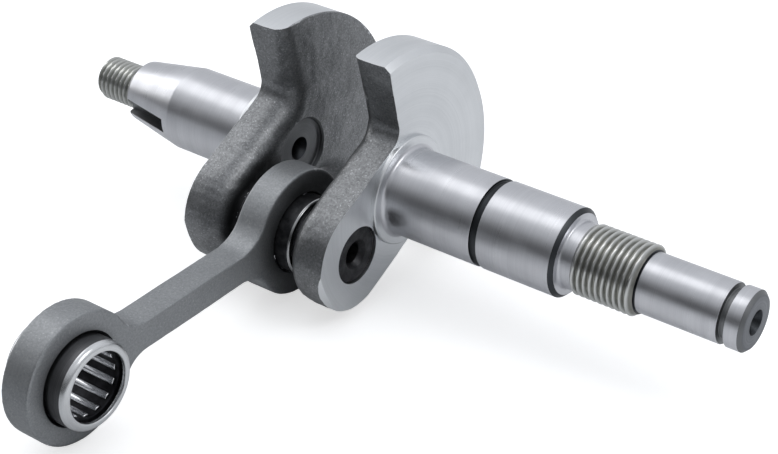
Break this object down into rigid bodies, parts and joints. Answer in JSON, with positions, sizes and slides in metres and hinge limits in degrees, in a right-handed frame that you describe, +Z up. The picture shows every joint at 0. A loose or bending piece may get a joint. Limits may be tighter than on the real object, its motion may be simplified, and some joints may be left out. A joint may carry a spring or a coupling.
{
  "type": "two-stroke engine crankshaft with connecting rod",
  "caption": "Pressed-together crankshaft with fan-shaped webs, tapered and threaded ends, hollow crankpin and a connecting rod on needle bearings.",
  "frame": {"origin": "on the crank axis, midway between the webs, in the mid-plane of the connecting rod", "axes": "+X along the crank axis towards the clutch end, +Z up; at rest the crankpin lies 206 degrees round from +Y towards +Z and the rod lies along -Y"},
  "size_m": [0.1318, 0.0996, 0.0426],
  "materials": {
    "crank_steel": "ground journals, turned rims and faces, blasted dark forged flanks",
    "dark_pin_steel": "dark hardened end faces, ground outside",
    "blasted_steel": "matt shot-blasted grey",
    "cage_steel": "satin, dark",
    "cup_steel": "drawn, satin, bright at the rim",
    "needle_steel": "polished"
  },
  "bodies": {
    "crank": {"clutch_side_crank_half": "crank_steel", "flywheel_side_crank_half": "crank_steel", "crankpin": "dark_pin_steel"},
    "rod": {"connecting_rod": "blasted_steel", "small_end_cup": "cup_steel"},
    "big_end_cage": {"big_end_cage": "cage_steel"},
    "small_end_cage": {"small_end_cage": "cage_steel"},
    "big_end_needle_01": {"big_end_needle_01": "needle_steel"},
    "big_end_needle_02": {"big_end_needle_02": "needle_steel"},
    "big_end_needle_03": {"big_end_needle_03": "needle_steel"},
    "big_end_needle_04": {"big_end_needle_04": "needle_steel"},
    "big_end_needle_05": {"big_end_needle_05": "needle_steel"},
    "big_end_needle_06": {"big_end_needle_06": "needle_steel"},
    "big_end_needle_07": {"big_end_needle_07": "needle_steel"},
    "big_end_needle_08": {"big_end_needle_08": "needle_steel"},
    "big_end_needle_09": {"big_end_needle_09": "needle_steel"},
    "big_end_needle_10": {"big_end_needle_10": "needle_steel"},
    "big_end_needle_11": {"big_end_needle_11": "needle_steel"},
    "big_end_needle_12": {"big_end_needle_12": "needle_steel"},
    "small_end_needle_01": {"small_end_needle_01": "needle_steel"},
    "small_end_needle_02": {"small_end_needle_02": "needle_steel"},
    "small_end_needle_03": {"small_end_needle_03": "needle_steel"},
    "small_end_needle_04": {"small_end_needle_04": "needle_steel"},
    "small_end_needle_05": {"small_end_needle_05": "needle_steel"},
    "small_end_needle_06": {"small_end_needle_06": "needle_steel"},
    "small_end_needle_07": {"small_end_needle_07": "needle_steel"},
    "small_end_needle_08": {"small_end_needle_08": "needle_steel"},
    "small_end_needle_09": {"small_end_needle_09": "needle_steel"},
    "small_end_needle_10": {"small_end_needle_10": "needle_steel"},
    "small_end_needle_11": {"small_end_needle_11": "needle_steel"},
    "small_end_needle_12": {"small_end_needle_12": "needle_steel"},
    "small_end_needle_13": {"small_end_needle_13": "needle_steel"},
    "small_end_needle_14": {"small_end_needle_14": "needle_steel"}
  },
  "joints": [
    {"name": "rod_swing", "type": "hinge", "parent": "crank", "child": "rod", "pos_m": [0, -0.01303, -0.00636], "axis": [1, 0, 0], "continuous": true},
    {"name": "big_end_cage_roll", "type": "hinge", "parent": "crank", "child": "big_end_cage", "pos_m": [0, -0.01303, -0.00636], "axis": [1, 0, 0], "continuous": true},
    {"name": "small_end_cage_roll", "type": "hinge", "parent": "rod", "child": "small_end_cage", "pos_m": [0, -0.06443, -0.00582], "axis": [1, 0, 0], "continuous": true},
    {"name": "big_end_needle_01_roll", "type": "hinge", "parent": "big_end_cage", "child": "big_end_needle_01", "pos_m": [0, -0.00724, -0.0048], "axis": [1, 0, 0], "continuous": true},
    {"name": "big_end_needle_02_roll", "type": "hinge", "parent": "big_end_cage", "child": "big_end_needle_02", "pos_m": [0, -0.00879, -0.00211], "axis": [1, 0, 0], "continuous": true},
    {"name": "big_end_needle_03_roll", "type": "hinge", "parent": "big_end_cage", "child": "big_end_needle_03", "pos_m": [0, -0.01148, -0.00056], "axis": [1, 0, 0], "continuous": true},
    {"name": "big_end_needle_04_roll", "type": "hinge", "parent": "big_end_cage", "child": "big_end_needle_04", "pos_m": [0, -0.01459, -0.00056], "axis": [1, 0, 0], "continuous": true},
    {"name": "big_end_needle_05_roll", "type": "hinge", "parent": "big_end_cage", "child": "big_end_needle_05", "pos_m": [0, -0.01728, -0.00211], "axis": [1, 0, 0], "continuous": true},
    {"name": "big_end_needle_06_roll", "type": "hinge", "parent": "big_end_cage", "child": "big_end_needle_06", "pos_m": [0, -0.01883, -0.0048], "axis": [1, 0, 0], "continuous": true},
    {"name": "big_end_needle_07_roll", "type": "hinge", "parent": "big_end_cage", "child": "big_end_needle_07", "pos_m": [0, -0.01883, -0.00791], "axis": [1, 0, 0], "continuous": true},
    {"name": "big_end_needle_08_roll", "type": "hinge", "parent": "big_end_cage", "child": "big_end_needle_08", "pos_m": [0, -0.01728, -0.0106], "axis": [1, 0, 0], "continuous": true},
    {"name": "big_end_needle_09_roll", "type": "hinge", "parent": "big_end_cage", "child": "big_end_needle_09", "pos_m": [0, -0.01459, -0.01215], "axis": [1, 0, 0], "continuous": true},
    {"name": "big_end_needle_10_roll", "type": "hinge", "parent": "big_end_cage", "child": "big_end_needle_10", "pos_m": [0, -0.01148, -0.01215], "axis": [1, 0, 0], "continuous": true},
    {"name": "big_end_needle_11_roll", "type": "hinge", "parent": "big_end_cage", "child": "big_end_needle_11", "pos_m": [0, -0.00879, -0.0106], "axis": [1, 0, 0], "continuous": true},
    {"name": "big_end_needle_12_roll", "type": "hinge", "parent": "big_end_cage", "child": "big_end_needle_12", "pos_m": [0, -0.00724, -0.00791], "axis": [1, 0, 0], "continuous": true},
    {"name": "small_end_needle_01_roll", "type": "hinge", "parent": "small_end_cage", "child": "small_end_needle_01", "pos_m": [0, -0.05916, -0.00353], "axis": [1, 0, 0], "continuous": true},
    {"name": "small_end_needle_02_roll", "type": "hinge", "parent": "small_end_cage", "child": "small_end_needle_02", "pos_m": [0, -0.06067, -0.00146], "axis": [1, 0, 0], "continuous": true},
    {"name": "small_end_needle_03_roll", "type": "hinge", "parent": "small_end_cage", "child": "small_end_needle_03", "pos_m": [0, -0.06293, -0.00027], "axis": [1, 0, 0], "continuous": true},
    {"name": "small_end_needle_04_roll", "type": "hinge", "parent": "small_end_cage", "child": "small_end_needle_04", "pos_m": [0, -0.06549, -0.00017], "axis": [1, 0, 0], "continuous": true},
    {"name": "small_end_needle_05_roll", "type": "hinge", "parent": "small_end_cage", "child": "small_end_needle_05", "pos_m": [0, -0.06784, -0.00119], "axis": [1, 0, 0], "continuous": true},
    {"name": "small_end_needle_06_roll", "type": "hinge", "parent": "small_end_cage", "child": "small_end_needle_06", "pos_m": [0, -0.06951, -0.00313], "axis": [1, 0, 0], "continuous": true},
    {"name": "small_end_needle_07_roll", "type": "hinge", "parent": "small_end_cage", "child": "small_end_needle_07", "pos_m": [0, -0.07018, -0.0056], "axis": [1, 0, 0], "continuous": true},
    {"name": "small_end_needle_08_roll", "type": "hinge", "parent": "small_end_cage", "child": "small_end_needle_08", "pos_m": [0, -0.0697, -0.00811], "axis": [1, 0, 0], "continuous": true},
    {"name": "small_end_needle_09_roll", "type": "hinge", "parent": "small_end_cage", "child": "small_end_needle_09", "pos_m": [0, -0.06819, -0.01017], "axis": [1, 0, 0], "continuous": true},
    {"name": "small_end_needle_10_roll", "type": "hinge", "parent": "small_end_cage", "child": "small_end_needle_10", "pos_m": [0, -0.06592, -0.01137], "axis": [1, 0, 0], "continuous": true},
    {"name": "small_end_needle_11_roll", "type": "hinge", "parent": "small_end_cage", "child": "small_end_needle_11", "pos_m": [0, -0.06337, -0.01147], "axis": [1, 0, 0], "continuous": true},
    {"name": "small_end_needle_12_roll", "type": "hinge", "parent": "small_end_cage", "child": "small_end_needle_12", "pos_m": [0, -0.06102, -0.01045], "axis": [1, 0, 0], "continuous": true},
    {"name": "small_end_needle_13_roll", "type": "hinge", "parent": "small_end_cage", "child": "small_end_needle_13", "pos_m": [0, -0.05935, -0.00851], "axis": [1, 0, 0], "continuous": true},
    {"name": "small_end_needle_14_roll", "type": "hinge", "parent": "small_end_cage", "child": "small_end_needle_14", "pos_m": [0, -0.05868, -0.00604], "axis": [1, 0, 0], "continuous": true}
  ],
  "couplings": [
    {"joint": "big_end_cage_roll", "follows": "rod_swing", "ratio": 0.58333},
    {"joint": "big_end_needle_01_roll", "follows": "rod_swing", "ratio": 2.9167},
    {"joint": "big_end_needle_02_roll", "follows": "rod_swing", "ratio": 2.9167},
    {"joint": "big_end_needle_03_roll", "follows": "rod_swing", "ratio": 2.9167},
    {"joint": "big_end_needle_04_roll", "follows": "rod_swing", "ratio": 2.9167},
    {"joint": "big_end_needle_05_roll", "follows": "rod_swing", "ratio": 2.9167},
    {"joint": "big_end_needle_06_roll", "follows": "rod_swing", "ratio": 2.9167},
    {"joint": "big_end_needle_07_roll", "follows": "rod_swing", "ratio": 2.9167},
    {"joint": "big_end_needle_08_roll", "follows": "rod_swing", "ratio": 2.9167},
    {"joint": "big_end_needle_09_roll", "follows": "rod_swing", "ratio": 2.9167},
    {"joint": "big_end_needle_10_roll", "follows": "rod_swing", "ratio": 2.9167},
    {"joint": "big_end_needle_11_roll", "follows": "rod_swing", "ratio": 2.9167},
    {"joint": "big_end_needle_12_roll", "follows": "rod_swing", "ratio": 2.9167},
    {"joint": "small_end_needle_01_roll", "follows": "small_end_cage_roll", "ratio": -8.6667},
    {"joint": "small_end_needle_02_roll", "follows": "small_end_cage_roll", "ratio": -8.6667},
    {"joint": "small_end_needle_03_roll", "follows": "small_end_cage_roll", "ratio": -8.6667},
    {"joint": "small_end_needle_04_roll", "follows": "small_end_cage_roll", "ratio": -8.6667},
    {"joint": "small_end_needle_05_roll", "follows": "small_end_cage_roll", "ratio": -8.6667},
    {"joint": "small_end_needle_06_roll", "follows": "small_end_cage_roll", "ratio": -8.6667},
    {"joint": "small_end_needle_07_roll", "follows": "small_end_cage_roll", "ratio": -8.6667},
    {"joint": "small_end_needle_08_roll", "follows": "small_end_cage_roll", "ratio": -8.6667},
    {"joint": "small_end_needle_09_roll", "follows": "small_end_cage_roll", "ratio": -8.6667},
    {"joint": "small_end_needle_10_roll", "follows": "small_end_cage_roll", "ratio": -8.6667},
    {"joint": "small_end_needle_11_roll", "follows": "small_end_cage_roll", "ratio": -8.6667},
    {"joint": "small_end_needle_12_roll", "follows": "small_end_cage_roll", "ratio": -8.6667},
    {"joint": "small_end_needle_13_roll", "follows": "small_end_cage_roll", "ratio": -8.6667},
    {"joint": "small_end_needle_14_roll", "follows": "small_end_cage_roll", "ratio": -8.6667}
  ]
}
